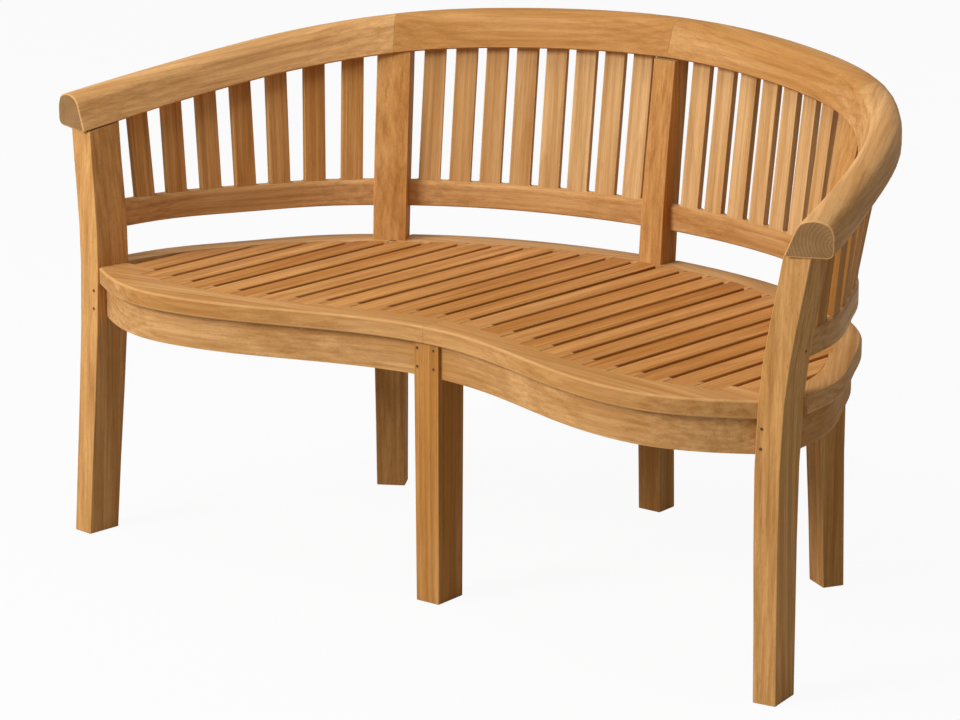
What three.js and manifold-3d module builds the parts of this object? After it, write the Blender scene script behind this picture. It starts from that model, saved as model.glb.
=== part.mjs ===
// A curved garden bench of solid teak. The seat is an oval of narrow slats in a shaped border, its front
// edge drawn in at the middle. A D-shaped top rail runs round the back and down into both arms, carried
// by five posts, with upright slats between it and a lower rail. A sixth leg stands under the front.
//
// Lengths are millimetres. x runs along the bench, y from front to rear and z up. Curves are drawn with
// y = 0 at the middle of the front leg's line, and the last group moves the whole to its own origin.

import * as THREE from 'three';
import { mergeVertices } from 'three/addons/utils/BufferGeometryUtils.js';
import Module from 'manifold-3d';

const wasm = await Module();
wasm.setup();

// Fits
const clearance = 0.3;
const housingDepth = 8;

// Seat: its curves end inside the front posts
const seatHeight = 452;
const seatSlope = 0.034;
const borderThickness = 28;
const frontCentreY = -45;
const lobeShare = 0.667;
const lobeY = -157;
const innerCentreY = 42;
const innerLobeShare = 0.626;
const innerLobeY = -54;
const cornerSetIn = 9;
const rearOuterHalf = 690;
const rearOuterDepth = 615;
const sideBorderWidth = 38;
const rearBorderWidth = 64;
const notchReach = 20;
const innerHandleShare = 0.36;
const outerHandleShares = [[0.42, 0], [0.74, 0.55]];
const cornerHandleShares = [[0.4, 0], [0.6, 1]];
// Places on the rear edges as shares of the half width and of the way from the curve's end to the rear
const rearOuterShares = [[0, 1], [0.3, 0.956], [0.55, 0.844], [0.764, 0.651], [0.89, 0.414], [0.97, 0.22], [1, 0]];
const rearInnerShares = [
  [0, 1], [0.26, 0.971], [0.46, 0.879], [0.65, 0.73], [0.8, 0.576], [0.9, 0.404], [0.96, 0.245], [1, 0],
];

// Seat slats
const outerSlatSetIn = 95;
const slotWidth = 10;
const seatSlatThickness = 18;
const sideSlatCount = 8;
const centreSlatCount = 9;
const battenWidth = 45;
const battenThickness = 20;
const battenInset = 3;
const frontHousing = 28;
const rearHousing = 12;
const centreBattenShares = [0.2, 0.545, 0.89];
const sideBattenShares = [0.127, 0.364];

// Aprons under the border and the bearer from front to rear
const apronSetback = 15;
const apronThickness = 22;
const apronDrop = 84;
const bearerWidth = 32;
const bearerHeight = 44;

// Posts at the foot, at the seat and under the top rail: sizes across, sizes from front to rear, and the
// middle of the front face, given for the rear ones as shares of the seat's rear half width and depth
const frontPost = {
  widths: [38, 43, 45],
  depths: [62, 67, 64],
  turn: THREE.MathUtils.degToRad(-7),
  leanOut: [11, 0, 28],
  frontYs: [-100, -80, -62],
};
const sidePost = {
  widths: [49, 56, 57],
  depths: [37, 48, 53],
  turn: THREE.MathUtils.degToRad(30),
  frontShares: [[0.632, 0.699], [0.623, 0.687], [0.662, 0.761]],
};
const rearPost = {
  widths: [44, 45, 42],
  depths: [44, 46, 43],
  turn: 0,
  frontShares: [[0, 0.932], [0, 0.92], [0, 0.976]],
};
const frontLeg = {
  topWidth: 48.5,
  footWidth: 45,
  topFrontY: -38,
  footFrontY: -36,
  topDepth: 66,
  footDepth: 62,
};

// Top rail: its inner lower edge lies in one tilted plane and its end is turned outwards
const railSetIn = 10;
const armFrontY = -72;
const armEndTurn = THREE.MathUtils.degToRad(15);
const armUnderside = 673;
const railSlope = 0.146;
const railWidth = 66;
const armEndWidth = 76;
const armFlareShare = 0.8;
const railHeight = 56;
const railEase = 3;
const railCornerRadius = 11;
// Places on the edge as shares of the half width and of the way from the arm's front to the back
const railEdgeShares = [[0, 1], [0.312, 0.951], [0.61, 0.817], [0.803, 0.599], [0.924, 0.304], [1, 0]];
// Knots of the rounded top as shares of the rail's width and height, from the outer side to the inner
const railCrownShares = [[1, 0.58], [0.9, 0.88], [0.6, 1], [0.33, 0.92], [0.22, 0.74]];

// Lower back rail, over the rear of the border
const lowerRailSetIn = 7;
const lowerRailBottom = 55;
const lowerRailHeight = 45;
const lowerRailThickness = 20;
const lowerRailEase = 2;

// Back slats, with the gaps they leave beside the posts at the foot and at the head
const backSlatThickness = 12;
const backSlatWidthShare = 0.0623;
const sideBackSlats = 7;
const centreBackSlats = 8;
const slatSetInShare = 0.42;
const centreSlatMargins = { foot: [14, 14], head: [13, 20] };
const sideSlatMargins = { foot: [16, 42], head: [13, 28] };

// Searching and drawing the curves
const halvings = 40;
const lineSteps = 24;
const curveSteps = 16;
const archSteps = 10;
const cornerSteps = 3;
const postSteps = 8;

const teak = (color, roughness) => new THREE.MeshStandardMaterial({ color, roughness, metalness: 0 });
const materials = {
  post: teak(0xc48a4e, 0.55),
  rail: teak(0xd09a5c, 0.5),
  slat: teak(0xcb9356, 0.55),
  border: teak(0xd6a268, 0.5),
  apron: teak(0xb97d42, 0.6),
};

const counted = (count) => Array.from({ length: count }, (_, place) => place);

// Heights
const seatTopAt = (y) => seatHeight - seatSlope * y;
const railUndersideAt = (y) => armUnderside + railSlope * (y - armFrontY);

// A vertical plane through a point, its normal turned clockwise from +x
function plane(x, y, turn, shift) {
  const normal = new THREE.Vector2(Math.cos(turn), -Math.sin(turn));
  return { normal, distance: normal.x * x + normal.y * y + shift };
}

// Places only, without normals or texture places
function bare(geometry) {
  const copy = geometry.clone();
  copy.deleteAttribute('normal');
  copy.deleteAttribute('uv');
  return copy;
}

// Closed mesh to solid, and back
function toSolid(geometry) {
  const merged = mergeVertices(bare(geometry));
  const mesh = new wasm.Mesh({
    numProp: 3,
    vertProperties: merged.getAttribute('position').array,
    triVerts: Uint32Array.from(merged.getIndex().array),
  });
  return new wasm.Manifold(mesh);
}

function toGeometry(solid) {
  const mesh = solid.getMesh();
  const geometry = new THREE.BufferGeometry();
  geometry.setAttribute('position', new THREE.BufferAttribute(mesh.vertProperties.slice(), 3));
  geometry.setIndex(new THREE.BufferAttribute(mesh.triVerts.slice(), 1));
  geometry.computeVertexNormals();
  return geometry;
}

function cut(geometry, tools) {
  const left = tools.reduce((solid, tool) => solid.subtract(toSolid(tool)), toSolid(geometry));
  return toGeometry(left);
}

function join(geometries) {
  const solids = geometries.map(toSolid);
  return toGeometry(solids.reduce((whole, solid) => whole.add(solid)));
}

// The same piece on the other side of the middle
function mirrored(geometry) {
  const copy = mergeVertices(bare(geometry));
  copy.scale(-1, 1, 1);
  const index = copy.getIndex();
  for (let start = 0; start < index.count; start += 3) {
    const first = index.getX(start);
    index.setX(start, index.getX(start + 1));
    index.setX(start + 1, first);
  }
  copy.computeVertexNormals();
  return copy;
}

// Skin over rings of points, each ring convex and counter-clockwise about the way along
function loft(rings) {
  const positions = rings.flat().flatMap((point) => point.toArray());
  const count = rings[0].length;
  const faces = [];
  for (let ring = 0; ring + 1 < rings.length; ring += 1) {
    for (let side = 0; side < count; side += 1) {
      const next = (side + 1) % count;
      const near = ring * count;
      const far = near + count;
      faces.push(near + side, near + next, far + next);
      faces.push(near + side, far + next, far + side);
    }
  }
  const last = (rings.length - 1) * count;
  for (let side = 1; side + 1 < count; side += 1) {
    faces.push(0, side + 1, side);
    faces.push(last, last + side, last + side + 1);
  }
  const geometry = new THREE.BufferGeometry();
  geometry.setAttribute('position', new THREE.Float32BufferAttribute(positions, 3));
  geometry.setIndex(faces);
  geometry.computeVertexNormals();
  return geometry;
}

// Upright block over a plan outline, its ends in planes that follow the seat's slope
function seatBlock(outline, topDrop, bottomDrop) {
  const geometry = new THREE.ExtrudeGeometry(new THREE.Shape(outline), {
    depth: bottomDrop - topDrop,
    bevelEnabled: false,
    steps: 1,
  });
  geometry.translate(0, 0, seatHeight - bottomDrop);
  return geometry.applyMatrix4(new THREE.Matrix4().makeShear(0, 0, 0, -seatSlope, 0, 0));
}

// Plan curves, from the middle to the right
const at = (x, y) => new THREE.Vector2(x, y);
const outwardOf = (along) => at(-along.y, along.x);

function bezier(start, handleShares, end) {
  const handles = handleShares.map(([xShare, yShare]) => at(
    THREE.MathUtils.lerp(start.x, end.x, xShare),
    THREE.MathUtils.lerp(start.y, end.y, yShare),
  ));
  return new THREE.CubicBezierCurve(start, handles[0], handles[1], end);
}

function chain(...curves) {
  const path = new THREE.CurvePath();
  curves.forEach((curve) => path.add(curve));
  return path;
}

// A smooth line through places that are shares of a half width and of a way from front to rear,
// drawn on both sides of the middle
function sharedLine(shares, half, frontY, rearY) {
  const right = shares.map(([xShare, yShare]) => at(half * xShare, THREE.MathUtils.lerp(frontY, rearY, yShare)));
  const left = right.slice(1).reverse().map((point) => at(-point.x, point.y));
  return new THREE.SplineCurve([...left, ...right]);
}

// The right half of such a line, set in from it
function insetHalf(line, inset) {
  return new THREE.SplineCurve(counted(lineSteps + 1).map((step) => {
    const share = THREE.MathUtils.lerp(1 / 2, 1, step / lineSteps);
    return line.getPointAt(share).addScaledVector(outwardOf(line.getTangentAt(share)), -inset);
  }));
}

const backSlatWidth = rearOuterHalf * backSlatWidthShare;
const lobeX = rearOuterHalf * lobeShare;
const innerLobeX = rearOuterHalf * innerLobeShare;

// Where a curve crosses a value, found by halving
function crossing(curve, measure) {
  let low = 0;
  let high = 1;
  const rising = measure(curve.getPointAt(1)) > measure(curve.getPointAt(0));
  for (let turn = 0; turn < halvings; turn += 1) {
    const middle = (low + high) / 2;
    if ((measure(curve.getPointAt(middle)) > 0) === rising) {
      high = middle;
    } else {
      low = middle;
    }
  }
  return (low + high) / 2;
}

// The front posts' places follow the width of the seat
const frontPostX = rearOuterHalf - frontPost.widths[1] / 2;
frontPost.front = frontPost.frontYs.map((y, level) => at(frontPostX + frontPost.leanOut[level], y));
const frontPostMiddleY = frontPost.frontYs[1] + frontPost.depths[1] / 2;
const frontPostBackY = frontPost.frontYs[1] + frontPost.depths[1];

const rearInnerHalf = rearOuterHalf - sideBorderWidth;
const rearInnerDepth = rearOuterDepth - rearBorderWidth;
const rearOuterLine = sharedLine(rearOuterShares, rearOuterHalf, frontPostMiddleY, rearOuterDepth);
const rearInnerLine = sharedLine(rearInnerShares, rearInnerHalf, frontPostMiddleY, rearInnerDepth);
const rearOuter = insetHalf(rearOuterLine, 0);
const rearInner = insetHalf(rearInnerLine, 0);

const frontEnd = at(frontPostX - frontPost.widths[1] / 4, frontPost.frontYs[1] + cornerSetIn);
const cornerY = frontPostBackY - cornerSetIn;
const corner = rearInner.getPointAt(crossing(rearInner, (point) => point.y - cornerY));
const waveHandleShares = [[innerHandleShare, 0], [1 - innerHandleShare, 1]];
const frontOuter = chain(
  bezier(at(0, frontCentreY), waveHandleShares, at(lobeX, lobeY)),
  bezier(at(lobeX, lobeY), outerHandleShares, frontEnd),
);
const frontInner = chain(
  bezier(at(0, innerCentreY), waveHandleShares, at(innerLobeX, innerLobeY)),
  bezier(at(innerLobeX, innerLobeY), cornerHandleShares, corner),
);

// The other posts' places are shares of the rear edge's size
[sidePost, rearPost].forEach((post) => {
  post.front = post.frontShares.map(([xShare, yShare]) => at(
    rearOuterHalf * xShare,
    THREE.MathUtils.lerp(frontPostMiddleY, rearOuterDepth, yShare),
  ));
});

// Points of a curve between two shares of its length, moved to the rear by a shift
function pointsOn(curve, from, to, steps, shift) {
  return Array.from({ length: steps + 1 }, (_, step) => {
    const point = curve.getPointAt(THREE.MathUtils.lerp(from, to, step / steps));
    return at(point.x, point.y + shift);
  });
}

// Posts: a ring of four corners at a height, and the skin over the rings from foot to top
function postRing(centre, z, width, depth, turn) {
  const across = at(Math.cos(turn), -Math.sin(turn)).multiplyScalar(width / 2);
  const back = at(Math.sin(turn), Math.cos(turn)).multiplyScalar(depth);
  const cornerAt = (side, rear) => {
    const place = centre.clone().addScaledVector(across, side).addScaledVector(back, rear);
    return new THREE.Vector3(place.x, place.y, z(place.y));
  };
  return [cornerAt(-1, 0), cornerAt(1, 0), cornerAt(1, 1), cornerAt(-1, 1)];
}

// grow widens every face, for the hollow that another piece leaves round the post, and behind opens that
// hollow to the rear
function sawnPost(post, grow = 0, behind = 0) {
  const [foot, seat, top] = post.front;
  const front = new THREE.CatmullRomCurve3([
    new THREE.Vector3(foot.x, foot.y, 0),
    new THREE.Vector3(seat.x, seat.y, seatTopAt(seat.y)),
    new THREE.Vector3(top.x, top.y, railUndersideAt(top.y)),
  ]);
  const section = new THREE.SplineCurve(post.widths.map((width, level) => at(width, post.depths[level])));
  const back = at(Math.sin(post.turn), Math.cos(post.turn));
  const rings = counted(postSteps + 1).map((step) => {
    const share = step / postSteps;
    const place = front.getPoint(share);
    const size = section.getPoint(share);
    const centre = at(place.x, place.y).addScaledVector(back, -grow);
    const ground = () => -grow;
    const head = (y) => railUndersideAt(y) - clearance + grow;
    const level = () => place.z;
    const z = step === 0 ? ground : (step === postSteps ? head : level);
    return postRing(centre, z, size.x + 2 * grow, size.y + 2 * grow + behind, post.turn);
  });
  return loft(rings);
}

function squareLeg(leg, grow = 0) {
  const foot = at(0, leg.footFrontY - grow);
  const top = at(0, leg.topFrontY - grow);
  const borderUnderside = (y) => seatTopAt(y) - borderThickness - clearance + grow;
  return loft([
    postRing(foot, () => -grow, leg.footWidth + 2 * grow, leg.footDepth + 2 * grow, 0),
    postRing(top, borderUnderside, leg.topWidth + 2 * grow, leg.topDepth + 2 * grow, 0),
  ]);
}

// Rails: a section carried along a plan curve. Section points are (outward, up) and stay upright.
function railRings(curve, from, to, sectionAt, heightAt, ends) {
  return counted(curveSteps + 1).map((step) => {
    const share = THREE.MathUtils.lerp(from, to, step / curveSteps);
    const place = curve.getPointAt(share);
    const along = curve.getTangentAt(share);
    const outward = outwardOf(along);
    const end = step === 0 ? ends[0] : (step === curveSteps ? ends[1] : null);
    return sectionAt(share).map(([across, up]) => {
      const point = place.clone().addScaledVector(outward, across);
      if (end) {
        const slide = (end.distance - point.dot(end.normal)) / along.dot(end.normal);
        point.addScaledVector(along, slide);
      }
      return new THREE.Vector3(point.x, point.y, heightAt(point.y) + up);
    });
  });
}

// Half an oval over two upright sides
function archedSection(width, height, sideHeight, ease) {
  const arch = Array.from({ length: archSteps + 1 }, (_, step) => {
    const angle = Math.PI * step / archSteps;
    const across = width / 2 + width / 2 * Math.cos(angle);
    return [across, sideHeight + (height - sideHeight) * Math.sin(angle)];
  });
  return [[ease, 0], [width - ease, 0], [width, ease], ...arch, [0, ease]];
}

// A flat underside, a rounded outer corner, and a crown that falls to a leaning inner side
function topRailSection(share) {
  const width = THREE.MathUtils.lerp(railWidth, armEndWidth, THREE.MathUtils.smoothstep(share, armFlareShare, 1));
  const rounded = counted(cornerSteps + 1).map((step) => {
    const angle = Math.PI / 2 * (step / cornerSteps - 1);
    const across = width - railCornerRadius + railCornerRadius * Math.cos(angle);
    return [across, railCornerRadius + railCornerRadius * Math.sin(angle)];
  });
  const knots = railCrownShares.map(([acrossShare, upShare]) => at(width * acrossShare, railHeight * upShare));
  const crown = new THREE.SplineCurve(knots).getPoints(archSteps).map((point) => point.toArray());
  return [[railEase, 0], ...rounded, ...crown, [0, railEase]];
}

const lowerRailSection = () => archedSection(
  lowerRailThickness,
  lowerRailHeight,
  lowerRailHeight - lowerRailThickness / 2,
  lowerRailEase,
);

const railHalf = rearOuterHalf - railSetIn;
const railBackY = rearOuterDepth - railSetIn;
const railLine = sharedLine(railEdgeShares, railHalf, armFrontY, railBackY);
const railEdge = insetHalf(railLine, 0);
const lowerRailEdge = insetHalf(rearOuterLine, lowerRailSetIn + lowerRailThickness);

// Ends of the top rail's pieces: the middle, the line of the side post and the arm's front
const middlePlane = plane(0, 0, 0, clearance / 2);
const sideTop = sidePost.front[2];
const beforeSeam = plane(sideTop.x, sideTop.y, sidePost.turn, -clearance / 2);
const afterSeam = plane(sideTop.x, sideTop.y, sidePost.turn, clearance / 2);
const armEndPlane = plane(railHalf, armFrontY, Math.PI / 2 - armEndTurn, 0);
const pastPlane = (end) => (point) => point.dot(end.normal) - end.distance;
const shareAt = (curve, end) => crossing(curve, pastPlane(end));

const railMiddle = shareAt(railEdge, middlePlane);
const railSeam = shareAt(railEdge, afterSeam);

function topRailPiece(from, to, ends) {
  return loft(railRings(railEdge, from, to, topRailSection, railUndersideAt, ends));
}

// Posts, right side and middle
const shapes = {
  frontPost: sawnPost(frontPost),
  sidePost: sawnPost(sidePost),
  rearPost: sawnPost(rearPost),
  frontLeg: squareLeg(frontLeg),
};
const hollows = {
  frontPost: sawnPost(frontPost, clearance),
  sidePost: sawnPost(sidePost, clearance),
  rearPost: sawnPost(rearPost, clearance),
  frontLeg: squareLeg(frontLeg, clearance),
};
const notches = {
  sidePost: sawnPost(sidePost, clearance, notchReach),
  rearPost: sawnPost(rearPost, clearance, notchReach),
};

// Where the side post's middle plane and the front post's back cross the plan curves
const sideSeat = sidePost.front[1];
const besideSeat = (shift) => plane(sideSeat.x, sideSeat.y, sidePost.turn, shift);
const besideTop = (shift) => plane(sideTop.x, sideTop.y, sidePost.turn, shift);
const postBack = (level, shift) => {
  const away = frontPost.turn - Math.PI / 2;
  return plane(frontPost.front[level].x, frontPost.front[level].y, away, frontPost.depths[level] + shift);
};
const intoPost = postBack(1, -frontPost.depths[1] / 4);

// Band of the seat between two curves and two planes
function band(outer, inner, start, end) {
  return [
    ...pointsOn(inner, shareAt(inner, start), shareAt(inner, end), 2 * curveSteps, 0),
    ...pointsOn(outer, shareAt(outer, start), shareAt(outer, end), 2 * curveSteps, 0).reverse(),
  ];
}

function borderPiece(outline, hollowed) {
  return cut(seatBlock(outline, 0, borderThickness), hollowed);
}

// The front border with its inner corner beside the front post
const frontBorder = [
  ...pointsOn(frontOuter, shareAt(frontOuter, middlePlane), 1, 2 * curveSteps, 0),
  ...pointsOn(frontInner, shareAt(frontInner, middlePlane), 1, 2 * curveSteps, 0).reverse(),
];

// An apron follows the border's outer edge, set in from it, and ends inside the posts' hollows
function apronPiece(outline, postHollows) {
  return cut(seatBlock(outline, borderThickness + clearance, apronDrop), postHollows);
}

function frontApron() {
  const from = crossing(frontOuter, (point) => point.x - frontLeg.footWidth / 4);
  const outer = pointsOn(frontOuter, from, 1, 2 * curveSteps, apronSetback);
  const end = outer[outer.length - 1];
  outer.push(at(end.x + frontPost.widths[1] / 4, end.y));
  const inner = outer.map((point) => at(point.x, point.y + apronThickness));
  return [...outer, ...inner.reverse()];
}

const apronOuter = insetHalf(rearOuterLine, apronSetback);
const apronInner = insetHalf(rearOuterLine, apronSetback + apronThickness);
const backApron = band(apronOuter, apronInner, middlePlane, besideSeat(0));
const sideApron = band(apronOuter, apronInner, besideSeat(0), intoPost);

// Seat slats, housed in the border at both ends, each panel's slats joined by the battens under them
const heightOn = (curve, x) => curve.getPointAt(crossing(curve, (point) => point.x - x)).y;
const rearSlatLine = insetHalf(rearInnerLine, clearance);
const outerSlatPlace = centreSlatCount / 2 + sideSlatCount - 1 / 2;
const slatPitch = (rearOuterHalf - outerSlatSetIn) / outerSlatPlace;
const slatWidth = slatPitch - slotWidth;

function slatOutline(place, grow) {
  const left = place * slatPitch - slatWidth / 2 - grow;
  const right = left + slatWidth + 2 * grow;
  const sides = [left, right].map(Math.abs);
  const front = Math.min(...sides.map((x) => heightOn(frontInner, x))) - frontHousing - grow;
  const rear = sides.map((x) => heightOn(rearInner, x) + rearHousing + grow);
  return [at(left, front), at(right, front), at(right, rear[1]), at(left, rear[0])];
}

// The last slat fills the corner: its outer edge follows the border
function lastSlatOutline(place) {
  const left = place * slatPitch - slatWidth / 2;
  const fromLeft = (point) => point.x - left;
  const rearEnd = crossing(rearSlatLine, (point) => point.y - corner.y - clearance);
  return [
    ...pointsOn(frontInner, crossing(frontInner, fromLeft), 1, archSteps, clearance).slice(0, -1),
    ...pointsOn(rearSlatLine, crossing(rearSlatLine, fromLeft), rearEnd, archSteps, 0).reverse(),
  ];
}

const battenYs = (shares) => shares.map((share) => share * rearInnerDepth);

function batten(y, left, right) {
  const front = y - battenWidth / 2;
  const rear = y + battenWidth / 2;
  const outline = [at(left, front), at(right, front), at(right, rear), at(left, rear)];
  const top = seatSlatThickness - battenInset;
  return seatBlock(outline, top, top + battenThickness);
}

function seatSlat(place) {
  const outline = place > outerSlatPlace - 1 ? lastSlatOutline(place) : slatOutline(place, 0);
  return seatBlock(outline, 0, seatSlatThickness);
}

function panel(places, battens, postHollows) {
  return cut(join([...places.map(seatSlat), ...battens]), postHollows);
}

const centrePlaces = counted(centreSlatCount).map((place) => place - (centreSlatCount - 1) / 2);
const sidePlaces = counted(sideSlatCount).map((place) => place + (centreSlatCount + 1) / 2);
const housings = [...centrePlaces, ...sidePlaces.slice(0, -1)]
  .map((place) => seatBlock(slatOutline(place, clearance), -clearance, seatSlatThickness + clearance));

function centrePanel() {
  const reach = centrePlaces[centreSlatCount - 1] * slatPitch + slatWidth / 4;
  return panel(centrePlaces, battenYs(centreBattenShares).map((y) => batten(y, -reach, reach)), [hollows.rearPost]);
}

function sidePanel() {
  const left = sidePlaces[0] * slatPitch - slatWidth / 4;
  const reachAt = (y) => crossing(rearSlatLine, (point) => y + battenWidth - point.y);
  const battens = battenYs(sideBattenShares).map((y) => batten(y, left, rearSlatLine.getPointAt(reachAt(y)).x));
  return panel(sidePlaces, battens, [hollows.frontPost]);
}

function bearer() {
  const half = bearerWidth / 2;
  const rear = rearPost.front[1].y + rearPost.depths[0] / 4;
  const outline = [at(-half, 0), at(half, 0), at(half, rear), at(-half, rear)];
  const top = seatSlatThickness - battenInset + battenThickness + clearance;
  return cut(seatBlock(outline, top, top + bearerHeight), [hollows.frontLeg, hollows.rearPost]);
}

// Back slats: each a board from its housing in the lower rail to its housing under the top rail
const lowerRailTopAt = (y) => seatTopAt(y) + lowerRailBottom + lowerRailHeight;

function onRail(curve, share, outwardBy, heightAt) {
  const place = curve.getPointAt(share);
  const along = curve.getTangentAt(share);
  const point = place.clone().addScaledVector(outwardOf(along), outwardBy);
  return { along, point: new THREE.Vector3(point.x, point.y, heightAt(point.y)) };
}

function boardPlace(lowerShare, upperShare) {
  const foot = onRail(lowerRailEdge, lowerShare, lowerRailThickness / 2, (y) => lowerRailTopAt(y) - housingDepth);
  const head = onRail(railEdge, upperShare, railWidth * slatSetInShare, (y) => railUndersideAt(y) + housingDepth);
  const up = head.point.clone().sub(foot.point);
  const length = up.length();
  up.normalize();
  const flat = foot.along.clone().add(head.along).normalize();
  const across = new THREE.Vector3(flat.x, flat.y, 0);
  const outward = up.clone().cross(across).normalize();
  across.crossVectors(outward, up);
  const turn = new THREE.Matrix4().makeBasis(across, outward, up);
  return { middle: foot.point.clone().lerp(head.point, 0.5), turn, length };
}

function boardSolid(place, grow) {
  const size = [backSlatWidth, backSlatThickness, place.length].map((value) => value + 2 * grow);
  const board = new THREE.BoxGeometry(...size);
  board.applyMatrix4(place.turn);
  return board.translate(...place.middle.toArray());
}

// Middles of boards at even distances between two shares of a curve, with a margin left at each end
function evenShares(curve, from, to, margins, count) {
  const length = curve.getLength();
  const first = from * length + margins[0] + backSlatWidth / 2;
  const last = to * length - margins[1] - backSlatWidth / 2;
  return counted(count).map((place) => THREE.MathUtils.lerp(first, last, place / (count - 1)) / length);
}

function boardPlaces(lowerEnds, upperEnds, margins, count) {
  const lower = evenShares(lowerRailEdge, ...lowerEnds, margins.foot, count);
  const upper = evenShares(railEdge, ...upperEnds, margins.head, count);
  return lower.map((share, place) => boardPlace(share, upper[place]));
}

const rearSide = plane(rearPost.widths[1] / 2, 0, 0, 0);
const halfSide = sidePost.widths[1] / 2;
const centreBoards = boardPlaces(
  [shareAt(lowerRailEdge, rearSide), shareAt(lowerRailEdge, besideSeat(-halfSide))],
  [shareAt(railEdge, rearSide), shareAt(railEdge, besideTop(-halfSide))],
  centreSlatMargins,
  centreBackSlats,
);
const sideBoards = boardPlaces(
  [shareAt(lowerRailEdge, besideSeat(halfSide)), shareAt(lowerRailEdge, postBack(1, 0))],
  [shareAt(railEdge, besideTop(halfSide)), shareAt(railEdge, postBack(2, 0))],
  sideSlatMargins,
  sideBackSlats,
);

// Rails with the boards' housings cut in them
function lowerRailPiece(start, end, boards, postHollows) {
  const heightAt = (y) => seatTopAt(y) + lowerRailBottom;
  const [from, to] = [shareAt(lowerRailEdge, start), shareAt(lowerRailEdge, end)];
  const rings = railRings(lowerRailEdge, from, to, lowerRailSection, heightAt, [null, null]);
  return cut(loft(rings), [...postHollows, ...boards.map((place) => boardSolid(place, clearance))]);
}

function housedTopRail(from, to, ends, boards) {
  return cut(topRailPiece(from, to, ends), boards.map((place) => boardSolid(place, clearance)));
}

// The bench
const bench = new THREE.Group();

function add(name, geometry, material) {
  const mesh = new THREE.Mesh(geometry, material);
  mesh.name = name;
  bench.add(mesh);
}

function addPair(name, geometry, material) {
  add(`${name}_right`, geometry, material);
  add(`${name}_left`, mirrored(geometry), material);
}

function addBoards(name, boards) {
  boards.forEach((place, number) => {
    addPair(`${name}_${number + 1}`, boardSolid(place, 0), materials.slat);
  });
}

addPair('post_front', shapes.frontPost, materials.post);
addPair('post_side', shapes.sidePost, materials.post);
add('post_rear', shapes.rearPost, materials.post);
add('leg_front', shapes.frontLeg, materials.post);

addPair('top_rail_back', housedTopRail(railMiddle, railSeam, [middlePlane, beforeSeam], centreBoards), materials.rail);
addPair('top_rail_arm', housedTopRail(railSeam, 1, [afterSeam, armEndPlane], sideBoards), materials.rail);
addPair(
  'lower_rail_back',
  lowerRailPiece(middlePlane, besideSeat(0), centreBoards, [hollows.rearPost, hollows.sidePost]),
  materials.rail,
);
addPair(
  'lower_rail_side',
  lowerRailPiece(besideSeat(0), intoPost, sideBoards, [hollows.sidePost, hollows.frontPost]),
  materials.rail,
);
addBoards('back_slat', centreBoards);
addBoards('side_slat', sideBoards);

addPair('border_front', borderPiece(frontBorder, [hollows.frontPost, ...housings]), materials.border);
addPair(
  'border_back',
  borderPiece(
    band(rearOuter, rearInner, middlePlane, besideSeat(-clearance / 2)),
    [notches.rearPost, notches.sidePost, ...housings],
  ),
  materials.border,
);
addPair(
  'border_side',
  borderPiece(
    band(rearOuter, rearInner, besideSeat(clearance / 2), postBack(1, clearance)),
    [notches.sidePost, ...housings],
  ),
  materials.border,
);
addPair('apron_front', apronPiece(frontApron(), [hollows.frontLeg, hollows.frontPost]), materials.apron);
addPair('apron_back', apronPiece(backApron, [hollows.rearPost, hollows.sidePost]), materials.apron);
addPair('apron_side', apronPiece(sideApron, [hollows.sidePost, hollows.frontPost]), materials.apron);
addPair('seat_panel_side', sidePanel(), materials.slat);
add('seat_panel_centre', centrePanel(), materials.slat);
add('bearer', bearer(), materials.apron);

// Origin on the floor, under the middle of the whole bench
const whole = new THREE.Group();
bench.position.y = -(lobeY + railBackY + railWidth) / 2;
whole.add(bench);

export default whole;
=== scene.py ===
"""Dresses a curved garden bench of oiled teak over its solid frame.

Every board is finished on its own: its edges are eased, its grain runs the way it was sawn, and its
tone differs a little from its neighbours'. Lengths are metres, x along the bench, y to the rear and
z up.
"""

import logging
import math
from dataclasses import dataclass, field
from enum import Enum
from random import Random
from typing import Callable, Sequence

import bpy
import numpy as np
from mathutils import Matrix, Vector


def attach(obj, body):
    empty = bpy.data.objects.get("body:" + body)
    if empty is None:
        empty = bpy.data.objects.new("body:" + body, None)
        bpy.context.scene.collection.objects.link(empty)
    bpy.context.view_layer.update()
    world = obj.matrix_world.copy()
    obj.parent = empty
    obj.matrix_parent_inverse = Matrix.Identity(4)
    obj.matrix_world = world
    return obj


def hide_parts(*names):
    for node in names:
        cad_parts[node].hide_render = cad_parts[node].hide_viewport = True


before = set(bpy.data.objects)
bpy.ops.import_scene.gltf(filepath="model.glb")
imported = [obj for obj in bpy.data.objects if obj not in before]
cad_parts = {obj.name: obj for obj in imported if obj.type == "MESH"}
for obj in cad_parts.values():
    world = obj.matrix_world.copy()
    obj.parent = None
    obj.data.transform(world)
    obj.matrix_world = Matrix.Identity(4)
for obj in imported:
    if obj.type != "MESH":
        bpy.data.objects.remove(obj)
log = logging.getLogger("bench")

Piece = bpy.types.Object
Face = bpy.types.MeshPolygon
Material = bpy.types.Material
Socket = bpy.types.NodeSocket
Settings = dict[str, object]
Inputs = dict[object, object]
FaceTest = Callable[[Face], bool]
EdgeTest = Callable[[Face, Face], bool]
Triple = tuple[float, float, float]

MM = 0.001
UP = Vector((0, 0, 1))
FRONT = Vector((0, -1, 0))
ROOT = "root"
SEAT_SLOPE = 0.034
SEAT_TOP = 443.262 * MM
SEAT_NORMAL = Vector((0, SEAT_SLOPE, 1)).normalized()

# Cosines that tell which way a face looks
ALIGNED = 0.9
SAWN_ACROSS = 0.86
ALONGSIDE = 0.3

# Angles between faces
SHARP_DEGREES = 40.0
SMOOTH_DEGREES = 32.0
FLAT_DEGREES = 0.4

# Faces across a rounding
SMALL_ROUNDING = 2
PLAIN_ROUNDING = 3
BROAD_ROUNDING = 4

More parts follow.
